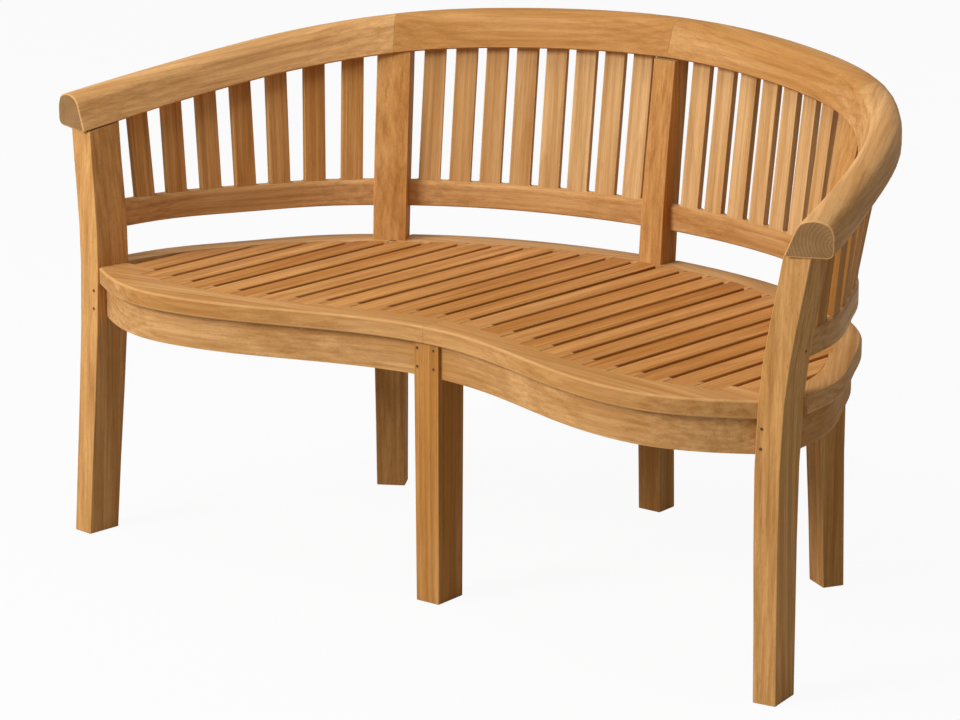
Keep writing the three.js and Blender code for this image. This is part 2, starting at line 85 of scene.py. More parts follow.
# How boards lie in their log, in metres from the pith
GRAIN_SEED = 41
PITH_REACH = (0.03, 0.09)
PITH_ASIDE = 0.03
QUARTER_REACH = 2.2
LOG_LENGTH = 30
END_PITH = (8 * MM, -29 * MM)


class Cut(Enum):
    """Which way a board was sawn from the log."""

    FLAT = "flat"
    QUARTER = "quarter"


class Surface(Enum):
    """What a face of a board is, by the place of its material."""

    SIDE = 0
    END = 1
    ARRIS = 2


@dataclass(frozen=True)
class Tone:
    """The colours of one group of boards, from pale early wood to dark fibres, as linear light."""

    pale: Triple
    honey: Triple
    dark: Triple


@dataclass(frozen=True)
class Layer:
    """Noise over a board, with its scales per metre along, across and through the grain."""

    scale: Triple
    detail: float
    roughness: float


# Socket expressions


class Number:
    """A number that varies over a surface, so that shader maths reads as an ordinary expression."""

    def __init__(self, sheet: "NodeSheet", socket: Socket) -> None:
        """Keeps the sheet that the number's nodes go on.

        Args:
            sheet: The node sheet.
            socket: The output that carries the number.
        """
        self.sheet = sheet
        self.socket = socket

    def combine(self, operation: str, first: object, second: object = 0.0) -> "Number":
        """Adds one Math node.

        Args:
            operation: The node's operation.
            first: The first value.
            second: The second value, where the operation has one.

        Returns:
            The node's result.
        """
        return self.sheet.number("ShaderNodeMath", {"operation": operation}, {0: first, 1: second})

    def __add__(self, other: object) -> "Number":
        """Sum."""
        return self.combine("ADD", self, other)

    __radd__ = __add__

    def __sub__(self, other: object) -> "Number":
        """Difference."""
        return self.combine("SUBTRACT", self, other)

    def __rsub__(self, other: object) -> "Number":
        """Difference from a plain number."""
        return self.combine("SUBTRACT", other, self)

    def __mul__(self, other: object) -> "Number":
        """Product."""
        return self.combine("MULTIPLY", self, other)

    __rmul__ = __mul__

    def __truediv__(self, other: object) -> "Number":
        """Quotient."""
        return self.combine("DIVIDE", self, other)

    def __pow__(self, other: object) -> "Number":
        """Power."""
        return self.combine("POWER", self, other)

    def larger(self, other: "Number") -> "Number":
        """The larger of two numbers."""
        return self.combine("MAXIMUM", self, other)

    def fraction(self) -> "Number":
        """What is left above the whole number."""
        return self.combine("FRACT", self)

    def above(self, edge: float, width: float) -> "Number":
        """A soft step from 0 to 1.

        Args:
            edge: Where the step starts.
            width: How far it takes to reach 1.

        Returns:
            The step.
        """
        scaled = (self - edge) / width
        return self.sheet.number("ShaderNodeClamp", {}, {"Value": scaled, "Min": 0.0, "Max": 1.0})


class NodeSheet:
    """The nodes of one material or of the world."""

    def __init__(self, tree: bpy.types.NodeTree) -> None:
        """Clears a node tree.

        Args:
            tree: The node tree.
        """
        self.tree = tree
        self.tree.nodes.clear()

    def node(self, kind: str, settings: Settings, values: Inputs) -> bpy.types.Node:
        """Adds any node.

        Args:
            kind: The node's type.
            settings: Its own settings, set before the sockets.
            values: Values or links of its input sockets, by name or place.

        Returns:
            The new node.
        """
        made = self.tree.nodes.new(kind)
        for setting, value in settings.items():
            setattr(made, setting, value)
        for key, value in values.items():
            socket = made.inputs[key]
            if isinstance(value, Number):
                self.tree.links.new(value.socket, socket)
            elif isinstance(value, Socket):
                self.tree.links.new(value, socket)
            else:
                socket.default_value = value
        return made

    def number(self, kind: str, settings: Settings, values: Inputs) -> Number:
        """Adds a node and takes its first output as a number.

        Args:
            kind: The node's type.
            settings: Its own settings.
            values: Values or links of its input sockets.

        Returns:
            The first output.
        """
        return Number(self, self.node(kind, settings, values).outputs[0])

    def attribute(self, name: str, output: str) -> Socket:
        """Reads an attribute of the mesh.

        Args:
            name: The attribute's name.
            output: Which of the node's outputs to take.

        Returns:
            That output.
        """
        return self.node("ShaderNodeAttribute", {"attribute_name": name}, {}).outputs[output]

    def blend(self, factor: object, first: object, second: object) -> Socket:
        """Mixes two colours.

        Args:
            factor: How much of the second colour.
            first: The first colour.
            second: The second colour.

        Returns:
            The mixed colour.
        """
        settings = {"data_type": "RGBA", "clamp_factor": True}
        values = {"Factor": factor, 6: first, 7: second}
        return self.node("ShaderNodeMix", settings, values).outputs[2]

    def noise(self, place: Socket, layer: Layer) -> Number:
        """Smooth noise from 0 to 1, stretched along the grain.

        Args:
            place: The place in the board's own directions.
            layer: The noise's scales and detail.

        Returns:
            The noise.
        """
        stretch = self.node(
            "ShaderNodeVectorMath", {"operation": "MULTIPLY"}, {0: place, 1: layer.scale}
        )
        values = {
            "Vector": stretch.outputs[0],
            "Scale": 1.0,
            "Detail": layer.detail,
            "Roughness": layer.roughness,
        }
        return self.number("ShaderNodeTexNoise", {"noise_dimensions": "3D"}, values)

    def directly_seen(self) -> Number:
        """1 for rays from the camera, off a glossy surface or through a clear one, otherwise 0."""
        path = self.node("ShaderNodeLightPath", {}, {})
        camera, glossy, transmission = (
            Number(self, path.outputs[name])
            for name in ("Is Camera Ray", "Is Glossy Ray", "Is Transmission Ray")
        )
        return camera.larger(glossy).larger(transmission)


def new_material(name: str) -> tuple[Material, NodeSheet]:
    """Makes an empty material.

    Args:
        name: The material's name.

    Returns:
        The material and its sheet.
    """
    material = bpy.data.materials.new(name)
    material.use_nodes = True
    return material, NodeSheet(material.node_tree)


def rgba(colour: Sequence[float]) -> tuple[float, float, float, float]:
    """A colour with full cover."""
    return (*colour, 1.0)


def grey(level: float) -> tuple[float, float, float, float]:
    """A neutral grey with full cover."""
    return rgba((level, level, level))


# Wood

WOOD_SPECULAR = 0.03
NOISE_MIDDLE = 0.5

BANDS = Layer((1.1, 34, 34), 3, 0.55)
STREAKS = Layer((2.2, 120, 120), 4, 0.6)
FIBRES = Layer((9, 520, 520), 3, 0.7)
PORES = Layer((38, 1500, 1500), 1, 0.5)
PATCHES = Layer((3.4, 12, 12), 2, 0.5)
RING_WANDER = Layer((1.8, 9, 9), 2, 0.5)
RING_SWAY = Layer((5, 26, 26), 2, 0.5)
END_SPECKS = Layer((200, 700, 700), 3, 0.7)
END_PATCHES = Layer((20, 40, 40), 2, 0.5)

# Soft steps over the noise: where each starts and how wide it is
STREAK_STEP = (0.4, 0.32)
FIBRE_STEP = (0.45, 0.35)
PORE_STEP = (0.62, 0.07)
SPECK_STEP = (0.45, 0.3)
LATE_WOOD_STEP = (0.93, 0.07)

# Growth rings: how far noise moves them, in metres, and how late wood gathers at their outer side
WANDER_REACH = 0.035
SWAY_REACH = 0.006
RING_TAPER = 0.012
LATE_WOOD_POWER = 2.5


def growth_rings(sheet: NodeSheet, place: Socket, spacing: float) -> Number:
    """Growth rings round a pith that runs beside the board.

    Args:
        sheet: The node sheet.
        place: The place in the board's own directions.
        spacing: The distance from ring to ring.

    Returns:
        1 in the dark late wood, 0 in the early wood.
    """
    parts = sheet.node("ShaderNodeSeparateXYZ", {}, {0: place})
    along, across, through = (Number(sheet, output) for output in parts.outputs)
    wander = sheet.noise(place, RING_WANDER) - NOISE_MIDDLE
    sway = sheet.noise(place, RING_SWAY) - NOISE_MIDDLE
    radius = (across * across + through * through) ** 0.5
    radius = radius + wander * WANDER_REACH + sway * SWAY_REACH + along * RING_TAPER
    wave = (radius / spacing).fraction()
    return wave**LATE_WOOD_POWER * (1 - wave.above(*LATE_WOOD_STEP))


@dataclass(frozen=True)
class Relief:
    """How strongly a height is seen, and how deep it is in metres."""

    strength: float
    depth: float


def coat(
    sheet: NodeSheet, body: Socket, roughness: Number, height: Number, relief: Relief
) -> None:
    """Adds the shader of a wooden surface and the material's output.

    Args:
        sheet: The node sheet.
        body: The colour.
        roughness: The roughness.
        height: The height of the small relief.
        relief: How that height is seen.
    """
    bump = sheet.node(
        "ShaderNodeBump",
        {},
        {"Strength": relief.strength, "Distance": relief.depth, "Height": height},
    )
    values = {
        "Base Color": body,
        "Roughness": roughness,
        "Normal": bump.outputs[0],
        "Specular IOR Level": WOOD_SPECULAR,
    }
    shader = sheet.node("ShaderNodeBsdfPrincipled", {}, values)
    sheet.node("ShaderNodeOutputMaterial", {}, {"Surface": shader.outputs[0]})


@dataclass(frozen=True)
class Teak:
    """Oiled teak seen along its grain: growth rings, soft streaks, fine fibres and short pores."""

    name: str
    tone: Tone
    ring_spacing: float = 0.0085
    ring_strength: float = 0.2
    sheen_roughness: float = 0.5
    streak_strength: float = 0.52
    fibre_strength: float = 0.34
    # How much paler the eased edges are: partly real wear, partly a painted highlight where light
    # catches the rounding
    wear_and_highlight: float = 0.4
    honey_share: float = 0.45
    patch_contrast: float = 1.3
    band_contrast: float = 2.2
    fibre_roughness: float = 0.16
    ring_roughness: float = 0.08
    fibre_height: float = 0.6
    pore_depth: float = 0.8
    ring_depth: float = 0.3
    relief: Relief = Relief(0.5, 0.0002)

    def material(self) -> Material:
        """Builds the material.

        Returns:
            The finished material.
        """
        material, sheet = new_material(self.name)
        place = sheet.attribute("grain", "Vector")
        shade = Number(sheet, sheet.attribute("tone", "Fac"))
        worn_and_highlit = Number(sheet, sheet.attribute("worn_and_highlit", "Fac"))
        rings = growth_rings(sheet, place, self.ring_spacing)
        bands = (sheet.noise(place, BANDS) - NOISE_MIDDLE) * self.band_contrast
        streaks = sheet.noise(place, STREAKS).above(*STREAK_STEP)
        fibres = sheet.noise(place, FIBRES)
        pores = sheet.noise(place, PORES).above(*PORE_STEP)
        patches = (sheet.noise(place, PATCHES) - NOISE_MIDDLE) * self.patch_contrast
        pale, honey, dark = rgba(self.tone.pale), rgba(self.tone.honey), rgba(self.tone.dark)
        body = sheet.blend(self.honey_share + patches + bands + shade, pale, honey)
        body = sheet.blend(streaks * self.streak_strength, body, dark)
        body = sheet.blend(rings * self.ring_strength, body, dark)
        body = sheet.blend(fibres.above(*FIBRE_STEP) * self.fibre_strength, body, dark)
        body = sheet.blend(pores * self.fibre_strength, body, dark)
        # Eased edges are blended towards the pale colour: partly real wear, partly a painted
        # highlight where light catches the rounding
        body = sheet.blend(worn_and_highlit * self.wear_and_highlight, body, pale)
        roughness = self.sheen_roughness + self.fibre_roughness * fibres
        roughness = roughness + self.ring_roughness * rings
        height = fibres * self.fibre_height - pores * self.pore_depth - rings * self.ring_depth
        coat(sheet, body, roughness, height, self.relief)
        return material


@dataclass(frozen=True)
class EndGrain:
    """The sawn end of a board, duller and darker, with arcs of growth rings and fine checks."""

    name: str
    tone: Tone
    ring_spacing: float = 0.0048
    ring_strength: float = 0.5
    speck_strength: float = 0.45
    sheen_roughness: float = 0.62
    speck_roughness: float = 0.2
    speck_height: float = 0.7
    ring_depth: float = 0.5
    relief: Relief = Relief(0.6, 0.0003)

    def material(self) -> Material:
        """Builds the material.

        Returns:
            The finished material.
        """
        material, sheet = new_material(self.name)
        place = sheet.attribute("grain", "Vector")
        rings = growth_rings(sheet, place, self.ring_spacing)
        specks = sheet.noise(place, END_SPECKS)
        patches = sheet.noise(place, END_PATCHES)
        dark = rgba(self.tone.dark)
        body = sheet.blend(patches, rgba(self.tone.pale), rgba(self.tone.honey))
        body = sheet.blend(rings * self.ring_strength, body, dark)
        body = sheet.blend(specks.above(*SPECK_STEP) * self.speck_strength, body, dark)
        roughness = self.sheen_roughness + self.speck_roughness * specks
        height = specks * self.speck_height - rings * self.ring_depth
        coat(sheet, body, roughness, height, self.relief)
        return material


Finish = Teak | EndGrain

WARM = Tone(pale=(0.65, 0.345, 0.12), honey=(0.47, 0.205, 0.048), dark=(0.21, 0.066, 0.009))
GOLD = Tone(pale=(0.67, 0.38, 0.155), honey=(0.50, 0.245, 0.077), dark=(0.26, 0.097, 0.018))
STRAW = Tone(pale=(0.74, 0.465, 0.215), honey=(0.59, 0.325, 0.125), dark=(0.29, 0.118, 0.026))
AMBER = Tone(pale=(0.64, 0.32, 0.105), honey=(0.46, 0.187, 0.041), dark=(0.20, 0.06, 0.009))
END = Tone(pale=(0.40, 0.235, 0.105), honey=(0.25, 0.13, 0.048), dark=(0.10, 0.042, 0.014))
PEG = Tone(pale=(0.16, 0.08, 0.035), honey=(0.10, 0.05, 0.022), dark=(0.04, 0.018, 0.008))

# Finishes by group of boards
POST_TEAK = Teak("post teak", WARM, ring_strength=0.16)
RAIL_TEAK = Teak(
    "rail teak", GOLD, ring_spacing=0.011, ring_strength=0.24, sheen_roughness=0.44
)
SIDE_SLAT_TEAK = Teak("side slat teak", WARM, ring_spacing=0.007, ring_strength=0.22)
SLAT_TEAK = Teak("slat teak", STRAW, ring_spacing=0.007, ring_strength=0.22)
SEAT_TEAK = Teak("seat teak", AMBER, ring_spacing=0.007, ring_strength=0.22)
BORDER_TEAK = Teak(
    "border teak", GOLD, ring_spacing=0.012, ring_strength=0.18, sheen_roughness=0.46
)
APRON_TEAK = Teak("apron teak", GOLD, ring_strength=0.26)
SAWN_END = EndGrain("sawn end", END)
PEG_END = EndGrain("peg end", PEG)

# How much darker than their group single boards are, or paler below 0, set to match the photo:
# partly the boards' own tone, partly painted light and shade that evens out how the lamps light
# each board
POST_TONES_AND_PAINTED_LIGHT = {"post_front_left": -0.25, "post_front_right": -0.6, "leg_front": 0.35}
RAIL_TONES_AND_PAINTED_LIGHT = {
    "top_rail_arm_left": -0.4,
    "top_rail_arm_right": -0.15,
    "top_rail_back_left": 0.8,
    "top_rail_back_right": 0.2,
    "lower_rail_side_left": -0.8,
}
BORDER_TONES_AND_PAINTED_LIGHT = {"border_front_left": 0.35, "border_front_right": 0.4}
SIDE_SLAT_COUNT = 7
SIDE_SLAT_TONES_AND_PAINTED_LIGHT = {
    f"side_slat_{number}_{side}": tone
    for side, tone in (("right", 0.4), ("left", -0.45))
    for number in range(1, SIDE_SLAT_COUNT + 1)
}


# The workshop: operators that the pieces share


def choose(piece: Piece) -> None:
    """Selects one object alone and makes it active.

    Args:
        piece: The object.
    """
    bpy.ops.object.select_all(action="DESELECT")
    piece.select_set(True)
    bpy.context.view_layer.objects.active = piece


def in_edit(piece: Piece, work: Callable[[], object]) -> None:
    """Does some work in edit mode with everything selected.

    Args:
        piece: The object.
        work: The operators to run.
    """
    choose(piece)
    bpy.ops.object.mode_set(mode="EDIT")
    bpy.ops.mesh.select_all(action="SELECT")
    work()
    bpy.ops.object.mode_set(mode="OBJECT")


def with_picked(piece: Piece, kind: str, picks: list[bool], work: Callable[[], object]) -> None:
    """Does some work in edit mode with some edges or faces selected, if there are any.

    Args:
        piece: The object.
        kind: EDGE or FACE.
        picks: Whether each edge or face is selected.
        work: The operators to run.
    """
    choose(piece)
    bpy.ops.object.mode_set(mode="EDIT")
    bpy.ops.mesh.select_mode(type=kind)
    bpy.ops.mesh.select_all(action="DESELECT")
    bpy.ops.object.mode_set(mode="OBJECT")
    parts = piece.data.edges if kind == "EDGE" else piece.data.polygons
    parts.foreach_set("select", np.array(picks))
    bpy.ops.object.mode_set(mode="EDIT")
    if any(picks):
        work()
    bpy.ops.object.mode_set(mode="OBJECT")


def copy_node(node: str, name: str) -> Piece:
    """Copies a solid of the frame and merges its loose triangles into clean faces.

    Args:
        node: The solid's name.
        name: The copy's name.

    Returns:
        The copy, at the origin.
    """
    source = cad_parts[node]
    piece = bpy.data.objects.new(name, source.data.copy())
    bpy.context.scene.collection.objects.link(piece)
    piece.data.materials.clear()
    for _ in Surface:
        piece.data.materials.append(None)
    sides = np.full(len(piece.data.polygons), Surface.SIDE.value, np.int32)
    piece.data.polygons.foreach_set("material_index", sides)

    def clean() -> None:
        """Joins the triangles of each flat face."""
        bpy.ops.mesh.remove_doubles(threshold=0.002 * MM)
        bpy.ops.mesh.dissolve_limited(angle_limit=math.radians(FLAT_DEGREES))
        bpy.ops.mesh.normals_make_consistent(inside=False)

    in_edit(piece, clean)
    if piece.data.has_custom_normals:
        bpy.ops.mesh.customdata_custom_splitnormals_clear()
    return piece


def ease_edges(
    piece: Piece, width: float, segments: int = PLAIN_ROUNDING, degrees: float = SHARP_DEGREES
) -> None:
    """Rounds the sharp edges of a board a little, as sanding does.

    Args:
        piece: The board.
        width: The width taken off each edge.
        segments: The faces across the rounding.
        degrees: Edges sharper than this are rounded.
    """
    choose(piece)
    bevel = piece.modifiers.new("eased", "BEVEL")
    bevel.limit_method = "ANGLE"
    bevel.angle_limit = math.radians(degrees)
    bevel.width = width
    bevel.segments = segments
    bevel.use_clamp_overlap = True
    bevel.harden_normals = False
    bevel.material = Surface.ARRIS.value
    bpy.ops.object.modifier_apply(modifier=bevel.name)
    smooth(piece)


def smooth(piece: Piece) -> None:
    """Shades the roundings smoothly and keeps the broad faces flat.

    Args:
        piece: The board.
    """
    choose(piece)
    bpy.ops.object.shade_smooth_by_angle(angle=math.radians(SMOOTH_DEGREES))
    weighted = piece.modifiers.new("weighted", "WEIGHTED_NORMAL")
    weighted.keep_sharp = True
    weighted.weight = 100
    bpy.ops.object.modifier_apply(modifier=weighted.name)


def round_edges(piece: Piece, width: float, segments: int, wanted: EdgeTest) -> None:
    """Rounds the edges between such pairs of faces as a test picks.

    Args:
        piece: The board.
        width: The width taken off each edge.
        segments: The faces across the rounding.
        wanted: The test on the two faces beside an edge.
    """
    beside: dict[tuple[int, int], list[Face]] = {}
    for face in piece.data.polygons:
        for key in face.edge_keys:
            beside.setdefault(key, []).append(face)
    pairs = [beside[edge.key] for edge in piece.data.edges]
    picks = [len(pair) == 2 and wanted(*pair) for pair in pairs]

    def bevel() -> None:
        """Rounds what is selected."""
        bpy.ops.mesh.bevel(
            offset=width,
            offset_type="OFFSET",
            segments=segments,
            profile=0.5,
            material=Surface.ARRIS.value,
        )

    with_picked(piece, "EDGE", picks, bevel)


def move_faces(piece: Piece, shift: Vector, wanted: FaceTest) -> None:
    """Moves the faces that a test picks.

    Args:
        piece: The board.
        shift: How far they go.
        wanted: The test on a face.
    """
    picks = [wanted(face) for face in piece.data.polygons]
    with_picked(piece, "FACE", picks, lambda: bpy.ops.transform.translate(value=shift))


def saw_at(piece: Piece, place: Vector, away: Vector, part: bool = True) -> None:
    """Saws a board on a plane and closes the cut, or only scores its faces there.

    Args:
        piece: The board.
        place: A point of the plane.
        away: The direction in which the waste lies.
        part: Whether the waste is taken off.
    """

    def cut() -> None:
        """Cuts the faces that the plane meets."""
        bpy.ops.mesh.bisect(plane_co=place, plane_no=away, use_fill=part, clear_outer=part)

    in_edit(piece, cut)


def long_way(piece: Piece) -> Vector:
    """The direction in which a board is longest.

    Args:
        piece: The board.

    Returns:
        The direction, of unit length, its largest part above 0.
    """
    points = np.array([vertex.co for vertex in piece.data.vertices])
    spread = np.cov((points - points.mean(axis=0)).T)
    direction = Vector(np.linalg.eigh(spread)[1][:, 2]).normalized()
    return direction if max(direction, key=abs) > 0 else -direction


def is_sharp(first: Face, second: Face) -> bool:
    """Whether two faces meet in a sharp edge."""
    return first.normal.angle(second.normal) > math.radians(SHARP_DEGREES)


@dataclass
class Sawing:
    """How a board lies in its log: the way its grain runs and where the pith is beside it."""

    along: Vector
    across: Vector
    tone: float
    pith: tuple[float, float]
    start: float

    def mark(self, piece: Piece, sawn: Sequence[bool]) -> None:
        """Writes the board's own directions on its corners and its tone on its points.

        Args:
            piece: The board.
            sawn: Whether each face is a sawn end, whose rings are centred beside its middle.
        """
        mesh = piece.data
        count = len(mesh.vertices)
        points = np.empty(count * 3)
        mesh.vertices.foreach_get("co", points)
        points = points.reshape(-1, 3)
        through = self.along.cross(self.across).normalized()
        axes = np.array([self.along, self.across, through])
        own = (points - points.mean(axis=0)) @ axes.T
        own += np.array([self.start, *self.pith])
        corners = np.empty(len(mesh.loops), np.int32)
        mesh.loops.foreach_get("vertex_index", corners)
        own = own[corners]
        for face, is_end in zip(mesh.polygons, sawn):
            if is_end:
                loops = slice(face.loop_start, face.loop_start + face.loop_total)
                own[loops, 1:] += np.array(END_PITH) - own[loops, 1:].mean(axis=0)
        grain = mesh.attributes.new("grain", "FLOAT_VECTOR", "CORNER")
        grain.data.foreach_set("vector", own.astype(np.float32).ravel())
        tone = mesh.attributes.new("tone", "FLOAT", "POINT")
        tone.data.foreach_set("value", np.full(count, self.tone, np.float32))


@dataclass
class Timber:
    """Turns shaped boards into finished pieces: grain, tone, finishes and the body they ride on."""

    random: Random = field(default_factory=lambda: Random(GRAIN_SEED))
    finishes: dict[str, Material] = field(default_factory=dict)

    def finish(self, kind: Finish) -> Material:
        """Builds a finish once and keeps it.

        Args:
            kind: The finish.

        Returns:
            Its material.
        """
        if kind.name not in self.finishes:
            self.finishes[kind.name] = kind.material()
        return self.finishes[kind.name]

    def saw(self, along: Vector, face: Vector, cut: Cut, spread: float) -> Sawing:
        """Chooses how a board lies in its log.

        Args:
            along: The way its grain runs.
            face: The direction that its best face looks.
            cut: How it was sawn.
            spread: How far its tone may differ from its neighbours'.

        Returns:
            The sawing.
        """
        across = (face - along * face.dot(along)).normalized()
        reach = self.random.uniform(*PITH_REACH)
        aside = self.random.uniform(-PITH_ASIDE, PITH_ASIDE)
        pith = (reach, aside) if cut is Cut.FLAT else (aside, reach * QUARTER_REACH)
        tone = self.random.uniform(-spread, spread)
        return Sawing(along, across, tone, pith, self.random.uniform(0, LOG_LENGTH))

    def dress(
        self,
        piece: Piece,
        sawing: Sawing,
        side: Teak,
        end: Finish,
        slot: str,
        replaced: Sequence[str],
    ) -> None:
        """Marks the grain, puts the finishes on the faces and sets the piece on its body.

        Args:
            piece: The board.
            sawing: How it was sawn.
            side: The finish of its long faces.
            end: The finish of its sawn ends.
            slot: The record's material slot; not used.
            replaced: The solids that it stands for.
        """
        mesh = piece.data
        # Eased faces are marked for the paler edge colour, which stands for wear and for a painted
        # highlight on the rounding
        worn_and_highlit = [face.material_index == Surface.ARRIS.value for face in mesh.polygons]
        sawn = [
            abs(face.normal.dot(sawing.along)) > SAWN_ACROSS and not eased
            for face, eased in zip(mesh.polygons, worn_and_highlit)
        ]
        sawing.mark(piece, sawn)
        wear_and_highlight = mesh.attributes.new("worn_and_highlit", "FLOAT", "FACE")
        wear_and_highlight.data.foreach_set("value", np.array(worn_and_highlit, np.float32))
        mesh.materials.clear()
        mesh.materials.append(self.finish(side))
        mesh.materials.append(self.finish(end))
        for face, is_end in zip(mesh.polygons, sawn):
            face.material_index = Surface.END.value if is_end else Surface.SIDE.value
        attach(piece, ROOT)
        if replaced:
            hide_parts(*replaced)
        log.info("%s: %d faces", piece.name, len(piece.data.polygons))


# The boards


@dataclass
class NodeBoards:
    """Boards whose shape is that of a solid of the frame, with their edges eased."""

    timber: Timber
    prefix: str
    finish: Teak
    slot: str
    edge: float
    cut: Cut = Cut.FLAT
    spread: float = 0.2
    face: Vector = field(default_factory=lambda: FRONT.copy())
    end: Finish = SAWN_END
    # Offsets per solid: partly each board's own tone, partly painted light and shade
    tones_and_painted_light: dict[str, float] = field(default_factory=dict)

    def build(self) -> None:
        """Makes one finished board for each solid whose name starts with the prefix."""
        for node in sorted(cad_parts):
            if node.startswith(self.prefix):
                self.board(node)

    def grain_way(self, piece: Piece) -> Vector:
        """The way a board's grain runs."""
        return long_way(piece)

    def shape(self, piece: Piece, node: str) -> None:
        """Eases all the sharp edges.

        Args:
            piece: The board.
            node: The solid that it stands for.
        """
        ease_edges(piece, self.edge)

    def board(self, node: str) -> None:
        """Makes one board.

        Args:
            node: The solid that it stands for.
        """
        piece = copy_node(node, f"{node}_board")
        sawing = self.timber.saw(self.grain_way(piece), self.face, self.cut, self.spread)
        # Adds the board's offset: partly its own tone, partly painted light and shade for how the
        # lamps light it
        sawing.tone += self.tones_and_painted_light.get(node, 0.0)
        self.shape(piece, node)
        self.timber.dress(piece, sawing, self.finish, self.end, self.slot, [node])


@dataclass
class BorderBoards(NodeBoards):
    """The shaped boards round the seat, with a round nosing outside and tight edges elsewhere."""

    nosing: float = 3.6 * MM
    seat_middle: Vector = field(default_factory=lambda: Vector((0, 0, SEAT_TOP)))
    rim_height: float = 26 * MM
    post_side: tuple[float, float] = (639.5 * MM, 675.5 * MM)
    post_back: float = -260 * MM
    square: float = 0.93
    outward: float = 0.25
    upright: float = 0.1
    inner_degrees: float = 50

    def is_rim(self, face: Face, mesh: bpy.types.Mesh) -> bool:
        """Whether a face is part of the outer edge, and not of the notch round a front post.

        Args:
            face: The face.
            mesh: The board's mesh.

        Returns:
            True on the outer edge.
        """
        heights = [mesh.vertices[point].co.z for point in face.vertices]
        tall = max(heights) - min(heights) > self.rim_height
        away = (face.center - self.seat_middle).normalized()
        inner, outer = self.post_side
        beside_post = inner < abs(face.center.x) < outer and face.center.y < self.post_back
        squared = max(abs(face.normal.x), abs(face.normal.y)) > self.square
        looks_out = face.normal.dot(away) > self.outward and abs(face.normal.z) < self.upright
        return tall and looks_out and not (squared and beside_post)

    def shape(self, piece: Piece, node: str) -> None:
        """Rounds the nosing, then eases the rest a little.

        Args:
            piece: The board.
            node: The solid that it stands for.
        """
        mesh = piece.data

        def nosing(first: Face, second: Face) -> bool:
            """Whether an edge lies between the outer edge and the top or the underside."""
            level = [abs(face.normal.z) > ALIGNED for face in (first, second)]
            return level.count(True) == 1 and (
                self.is_rim(first, mesh) or self.is_rim(second, mesh)
            )

        round_edges(piece, self.nosing, BROAD_ROUNDING, nosing)
        ease_edges(piece, self.edge, SMALL_ROUNDING, self.inner_degrees)


@dataclass
class RailBoards(NodeBoards):
    """The top rail's lengths, with a softer rim round the arms' free ends."""

    rim: float = 2.2 * MM
    end_facing: float = 0.75
    end_from: float = -250 * MM

    def shape(self, piece: Piece, node: str) -> None:
        """Rounds the rims of the free ends, then eases the rest.

        Args:
            piece: The board.
            node: The solid that it stands for.
        """

        def free_end(face: Face) -> bool:
            """Whether a face is the sawn front end of an arm."""
            return face.normal.y < -self.end_facing and face.center.y < self.end_from

        round_edges(piece, self.rim, PLAIN_ROUNDING, lambda *faces: sum(map(free_end, faces)) == 1)
        ease_edges(piece, self.edge)


@dataclass
class SlatBoards(NodeBoards):
    """The upright slats, planed down a little at both long sides."""

    planed: float = 3 * MM
    housed: float = 7.6 * MM
    shoulder: float = 0.3 * MM

    def shape(self, piece: Piece, node: str) -> None:
        """Planes the long sides between the two housings, then eases the edges.

        Args:
            piece: The board.
            node: The solid that it stands for.
        """
        along = long_way(piece)
        broad = max(piece.data.polygons, key=lambda face: face.area).normal.copy()
        aside = broad.cross(along).normalized()
        reaches = [vertex.co.dot(along) for vertex in piece.data.vertices]
        low, high = min(reaches) + self.housed, max(reaches) - self.housed
        for reach in (low, low + self.shoulder, high - self.shoulder, high):
            saw_at(piece, along * reach, along, part=False)
        for way in (aside, -aside):

            def open_side(face: Face, way: Vector = way) -> bool:
                """Whether a face is the part of one long side between the housings."""
                reach = face.center.dot(along)
                inside = low + self.shoulder < reach < high - self.shoulder
                return inside and face.normal.dot(way) > ALIGNED

            move_faces(piece, -self.planed * way, open_side)

        def arris(first: Face, second: Face) -> bool:
            """Whether an edge runs along the slat between a broad face and a long side."""
            slants = [abs(face.normal.dot(along)) for face in (first, second)]
            return max(slants) < ALONGSIDE and is_sharp(first, second)

        round_edges(piece, self.edge, PLAIN_ROUNDING, arris)
        smooth(piece)


@dataclass
class Peg:
    """A dowel that pins a tenon, its end almost level with the face."""

    place: Vector
    facing: Vector
    radius: float = 3.0 * MM
    depth: float = 9 * MM
    gap: float = 0.2 * MM
    proud: float = 0.3 * MM
    edge: float = 0.5 * MM
    spread: float = 0.3
    sides: int = 20

    def bar(self, name: str, radius: float, depth: float, top: float) -> Piece:
        """Adds a round bar that runs into the face.

        Args:
            name: The object's name.
            radius: Its radius.
            depth: How far it goes in.
            top: How far it stands out.

        Returns:
            The bar, with its place in its mesh.
        """
        bpy.ops.object.select_all(action="DESELECT")
        bpy.ops.mesh.primitive_cylinder_add(
            vertices=self.sides,
            radius=radius,
            depth=depth + top,
            location=self.place + self.facing * (top - depth) / 2,
            rotation=self.facing.to_track_quat("Z", "Y").to_euler(),
        )
        bar = bpy.context.active_object
        bar.name = name
        bpy.ops.object.transform_apply(location=True, rotation=True, scale=True)
        return bar

    def bore(self, piece: Piece) -> None:
        """Bores the dowel's hole.

        Args:
            piece: The post.
        """
        drill = self.bar("drill", self.radius + self.gap, self.depth + self.gap, self.depth)
        choose(piece)
        hole = piece.modifiers.new("hole", "BOOLEAN")
        hole.operation = "DIFFERENCE"
        hole.solver = "EXACT"
        hole.object = drill
        bpy.ops.object.modifier_apply(modifier=hole.name)
        bpy.data.objects.remove(drill)
        smooth(piece)

    def build(self, timber: Timber, name: str) -> None:
        """Makes the dowel.

        Args:
            timber: The shared workshop.
            name: The piece's name.
        """
        piece = self.bar(name, self.radius, self.depth, self.proud)
        for _ in Surface:
            piece.data.materials.append(None)
        sawing = timber.saw(self.facing, UP, Cut.FLAT, self.spread)
        ease_edges(piece, self.edge, SMALL_ROUNDING)
        timber.dress(piece, sawing, POST_TEAK, PEG_END, "post_teak", [])


